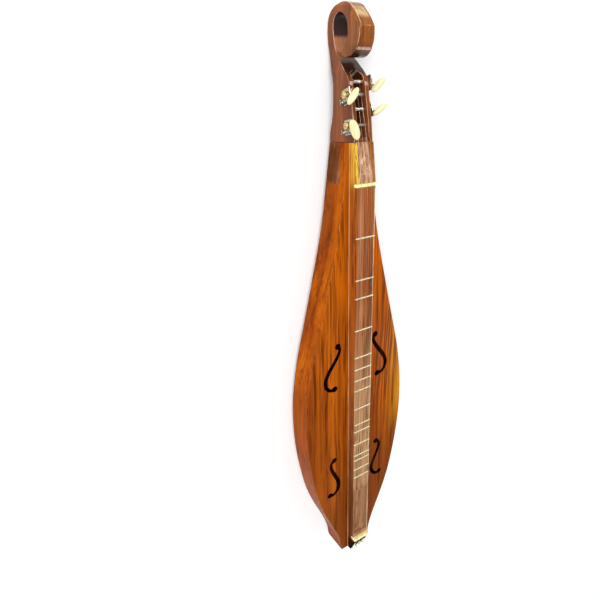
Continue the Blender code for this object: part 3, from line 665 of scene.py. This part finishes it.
def make_glue_and_glint():
    """The bead where lacquer and glue have gathered, coloured pale as a painted highlight along the joint."""
    made = Shader("glue_and_glint_line", 0.35, specular=0.3)
    cloud = made.noise(made.scaled(40, 16, 40), detail=4)
    made.colour(made.colours(cloud, ((0.3, linear(170, 104, 58)), (0.6, linear(222, 170, 128)))))
    return made.material


POST_METAL = make_post_material()
GLUE_AND_GLINT = make_glue_and_glint()


def dress_body():
    """The wooden pieces, frets, nut, bridge, strings and pins."""
    softened("soundboard", 0.6 * MM, BOARD)
    softened("back", 0.9 * MM, SIDES)
    give("side_left", SIDES)
    give("side_right", SIDES)
    softened("fretboard", 0.5 * MM, NECK)
    softened("nut", 0.5 * MM, BONE)
    softened("bridge", 0.7 * MM, BONE)
    head = carved("head", 0.6 * MM, 5, HEAD)
    taper_hole(head.data)
    for node in NODES:
        if node.startswith(("lining", "soundboard_brace", "back_brace", "head_block", "tail_block")):
            give(node, BARE)
        elif node.startswith("fret_"):
            give(node, FRET_METAL)
        elif node.startswith("string_"):
            thinned(node, STRINGS[node.removeprefix("string_")][2])
        elif node.startswith("hitch_pin"):
            give(node, NICKEL)


def lacquer_fillets():
    """The bead of lacquer and glue along the foot of the fretboard, whose pale colour is a painted highlight."""
    low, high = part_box("fretboard")
    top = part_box("soundboard")[1].z
    for side, name in ((-1, "left"), (1, "right")):
        x = side * (high.x + 0.25 * MM)
        points = [(x, low.y + (high.y - low.y) * i / 60, top + 0.25 * MM) for i in range(61)]
        tube(f"fillet_{name}", points, 0.55 * MM, GLUE_AND_GLINT, "root", resolution=2)


def screw(name, origin, out, size, body, material):
    """A round-headed slotted screw standing on a face."""
    side = out.orthogonal().normalized()
    place = frame_at(origin, side, out.cross(side), out)
    dome = [(size * math.cos(a), size * 0.55 * math.sin(a) + 0.1 * MM) for a in
            (math.pi / 2 * i / 6 for i in range(6))]
    obj = lathe(name, [(size, -0.2 * MM), *dome, (size * 0.08, size * 0.56 + 0.1 * MM)], place, material,
                body, 20)
    cage = bmesh.new()
    bmesh.ops.create_cube(cage, size=1)
    bmesh.ops.scale(cage, vec=(size * 3, size * 0.28, size * 0.6), verts=cage.verts)
    bmesh.ops.translate(cage, vec=(0, 0, size * 0.66), verts=cage.verts)
    cage.transform(place)
    mesh = bpy.data.meshes.new(name + "_slot")
    cage.to_mesh(mesh)
    cage.free()
    cutter = bpy.data.objects.new(name + "_slot", mesh)
    SCENE.collection.objects.link(cutter)
    cut = obj.modifiers.new("slot", "BOOLEAN")
    cut.object = cutter
    apply_modifiers(obj)
    bpy.data.objects.remove(cutter)
    return obj


def button(machine, origin, long_axis, shaft):
    """A flat oval thumb button with a groove down each face, and the metal collar under it."""
    rows, columns = 40, 20
    half, centre = BUTTON_HALF, BUTTON_CENTRE
    cage = bmesh.new()
    grid = []
    for i in range(1, columns):
        polar = math.pi * i / columns
        ring = []
        for j in range(rows):
            turn = 2 * math.pi * j / rows
            u, w = math.sin(polar) * math.cos(turn), math.cos(polar)
            v = math.sin(polar) * math.sin(turn)
            flat = math.copysign(abs(v) ** 0.7, v)
            groove = 1 - 0.3 * math.exp(-((u * half[0] / BUTTON_GROOVE) ** 2)) * min(abs(v) * 2, 1)
            ring.append(cage.verts.new((w * half[0], flat * half[1] * groove, u * half[2] + centre)))
        grid.append(ring)
    ends = [cage.verts.new((half[0], 0, centre)), cage.verts.new((-half[0], 0, centre))]
    for low, high in zip(grid, grid[1:]):
        for j in range(rows):
            k = (j + 1) % rows
            cage.faces.new((low[j], low[k], high[k], high[j]))
    for j in range(rows):
        k = (j + 1) % rows
        cage.faces.new((ends[0], grid[0][k], grid[0][j]))
        cage.faces.new((ends[1], grid[-1][j], grid[-1][k]))
    bmesh.ops.recalc_face_normals(cage, faces=cage.faces)
    place = frame_at(origin, long_axis, shaft.cross(long_axis), shaft)
    cage.transform(place)
    mesh = bpy.data.meshes.new(f"button_{machine}")
    cage.to_mesh(mesh)
    cage.free()
    mesh.materials.append(IVORY)
    mesh.shade_smooth()
    node, worm = f"tuner_button_{machine}", f"tuner_worm_{machine}"
    add_piece(bpy.data.objects.new(f"button_{machine}", mesh), body_of(node), [node])
    collar = [(1.6 * MM, 8.1 * MM), (2.6 * MM, 8.3 * MM), (2.8 * MM, 9.2 * MM), (2.3 * MM, 10.2 * MM),
              (2.3 * MM, 11.6 * MM), (1.6 * MM, 12 * MM)]
    lathe(f"collar_{machine}", collar, place, NICKEL, body_of(worm))


def dress_tuners():
    """Buttons, plates, screws, and the windings of the strings on their posts."""
    for name, cheek, turn in TUNERS:
        knob = JOINTS[f"knob_{name}_turn"]
        post = JOINTS[f"post_{name}_turn"]
        shaft = Vector(knob["axis"])
        origin = Vector(knob["pos_m"])
        headward = Vector((0, shaft.z, -shaft.y))
        out = Vector((cheek, 0, 0))
        seat = Vector((cheek * HEAD_HALF, post["pos_m"][1], post["pos_m"][2]))
        angle = math.radians(turn)
        long_axis = Vector((1, 0, 0)) * math.cos(angle) + headward * math.sin(angle)
        button(name, origin, long_axis, shaft)
        softened(f"tuner_plate_{name}", 0.25 * MM, NICKEL)
        give(f"tuner_post_{name}", POST_METAL)
        give(f"tuner_worm_{name}", NICKEL)

        # Two screws go through the plate, and one holds the gear on the post.
        top = seat + out * 1.5 * MM
        spots = (headward * 6.3 * MM + shaft * 6.2 * MM, headward * 6.3 * MM - shaft * 6.6 * MM)
        for i, spot in enumerate(spots):
            screw(f"plate_screw_{name}_{i + 1}", top + spot, out, 1.6 * MM, "root",
                  NICKEL)
        end = Vector((cheek * (HEAD_HALF + 7.8 * MM), seat.y, seat.z))
        screw(f"gear_screw_{name}", end, out, 2.0 * MM, f"post_{name}", NICKEL)

        # The string's turns round the post.
        x, radius, _, turns = STRINGS[name]
        steps = int(turns * 20)
        coil_radius = POST_RADIUS + radius * 1.02
        coil = []
        for i in range(steps + 1):
            a = 2 * math.pi * turns * i / steps + math.pi / 2
            dx = (i / steps - 0.5) * turns * radius * 2.3
            coil.append((x + dx, seat.y + coil_radius * math.cos(a), seat.z + coil_radius * math.sin(a)))
        tube(f"winding_{name}", coil, radius, STEEL, f"post_{name}", resolution=2)


def middle_of(points):
    return sum(points, Vector()) / len(points)


def dress_tail():
    """The loop and the twisted end that tie each string to its hitch pin."""
    bridge_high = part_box("bridge")[1]
    for name in STRINGS:
        low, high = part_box(f"hitch_pin_{name}")
        pin = Vector(((low.x + high.x) / 2, (low.y + high.y) / 2, high.z - LOOP_BELOW_PIN_TOP))
        ring = [(pin.x + LOOP_RADIUS * math.cos(a), pin.y + LOOP_RADIUS * math.sin(a), pin.z)
                for a in (2 * math.pi * i / 20 for i in range(20))]
        tube(f"loop_{name}", ring, LOOP_WIRE, TWIST_HIGHLIGHT, "root", closed=True)

        # The twist runs along the string, from its end at the pin towards its crossing of the bridge.
        line = sorted((v.co.copy() for v in NODES[f"string_{name}"].data.vertices), key=lambda p: p.y)
        start = middle_of([p for p in line if p.y < line[0].y + 0.5 * MM])
        crossing = [p for p in line if p.y < bridge_high.y and p.z > bridge_high.z - 0.3 * MM]
        stop = middle_of([p for p in crossing if p.y < crossing[0].y + 0.5 * MM])
        along = (stop - start).normalized()
        side = along.cross(Vector((0, 0, 1))).normalized()
        up = side.cross(along)
        length = min((stop - start).length * 0.72, TWIST_LENGTH)
        for strand in (0, 1):
            helix = []
            for i in range(61):
                a = math.pi * strand + i / 60 * 2 * math.pi * TWIST_TURNS
                off_line = side * (TWIST_RADIUS * math.cos(a)) + up * (TWIST_RADIUS * math.sin(a))
                helix.append(start + along * (length * i / 60) + off_line)
            tube(f"twist_{name}_{strand + 1}", helix, TWIST_WIRE, TWIST_HIGHLIGHT, "root",
                 resolution=2)


def soft_light(name, place, target, size, power):
    """A rectangular light that faces its target."""
    data = bpy.data.lights.new(name, "AREA")
    data.shape = "RECTANGLE"
    data.size, data.size_y = size
    data.energy = power
    obj = bpy.data.objects.new(name, data)
    obj.location = place
    obj.rotation_euler = (Vector(target) - Vector(place)).to_track_quat("-Z", "Y").to_euler()
    SCENE.collection.objects.link(obj)


def add_floor():
    """A wide pale floor."""
    mesh = bpy.data.meshes.new("floor")
    cage = bmesh.new()
    bmesh.ops.create_grid(cage, x_segments=1, y_segments=1, size=FLOOR_SIZE)
    cage.to_mesh(mesh)
    cage.free()
    floor = bpy.data.objects.new("floor", mesh)
    SCENE.collection.objects.link(floor)
    made = Shader("floor", 0.9, specular=0.1)
    made.bsdf.inputs["Base Color"].default_value = (0.93, 0.93, 0.935, 1)
    mesh.materials.append(made.material)


def add_world():
    """A white world that is brightest at the horizon."""
    world = bpy.data.worlds.new("studio")
    world.use_nodes = True
    nodes, links = world.node_tree.nodes, world.node_tree.links
    direction = nodes.new("ShaderNodeTexCoord")
    axes = nodes.new("ShaderNodeSeparateXYZ")
    links.new(direction.outputs["Generated"], axes.inputs[0])
    sky = nodes.new("ShaderNodeMapRange")
    sky.inputs["From Min"].default_value = 0.0
    sky.inputs["From Max"].default_value = OVERHEAD_FROM
    sky.inputs["To Min"].default_value = HORIZON
    sky.inputs["To Max"].default_value = OVERHEAD
    links.new(axes.outputs[2], sky.inputs[0])
    links.new(sky.outputs[0], nodes["Background"].inputs[1])
    nodes["Background"].inputs[0].default_value = (1, 1, 1, 1)
    SCENE.world = world


def add_lights():
    """A broad key light from the upper left, and three small lights for glints on the scroll."""
    sun = bpy.data.lights.new("key", "SUN")
    sun.energy = KEY_STRENGTH
    sun.angle = KEY_SPREAD
    key = bpy.data.objects.new("key", sun)
    key.rotation_euler = Vector((-0.55, 0.25, 0.8)).to_track_quat("Z", "Y").to_euler()
    SCENE.collection.objects.link(key)
    scroll = (0, 0.46, 0.06)
    soft_light("arris_glint", (1.1, 1.25, 1.15), scroll, (0.12, 0.12), 3)
    soft_light("chin_glint", (1.1, -0.75, 0.7), scroll, (0.1, 0.1), 2)
    soft_light("rim_glint", (0.2, 2.4, 0.5), scroll, (0.4, 0.2), 8)


def add_camera():
    """The camera that was fitted to the frets, nut and bridge: its axes and place as a matrix."""
    data = bpy.data.cameras.new("camera")
    data.lens = 27.336
    data.sensor_width = 36
    data.clip_start = 0.02
    obj = bpy.data.objects.new("camera", data)
    obj.matrix_world = Matrix((
        (0.84956, 0.22880, -0.47529, -0.44005),
        (-0.03676, 0.92453, 0.37933, 0.35408),
        (0.52621, -0.30479, 0.79385, 0.60926),
        (0, 0, 0, 1),
    ))
    SCENE.collection.objects.link(obj)
    SCENE.camera = obj


dress_body()
lacquer_fillets()
dress_tuners()
dress_tail()
add_floor()
add_world()
add_lights()
add_camera()
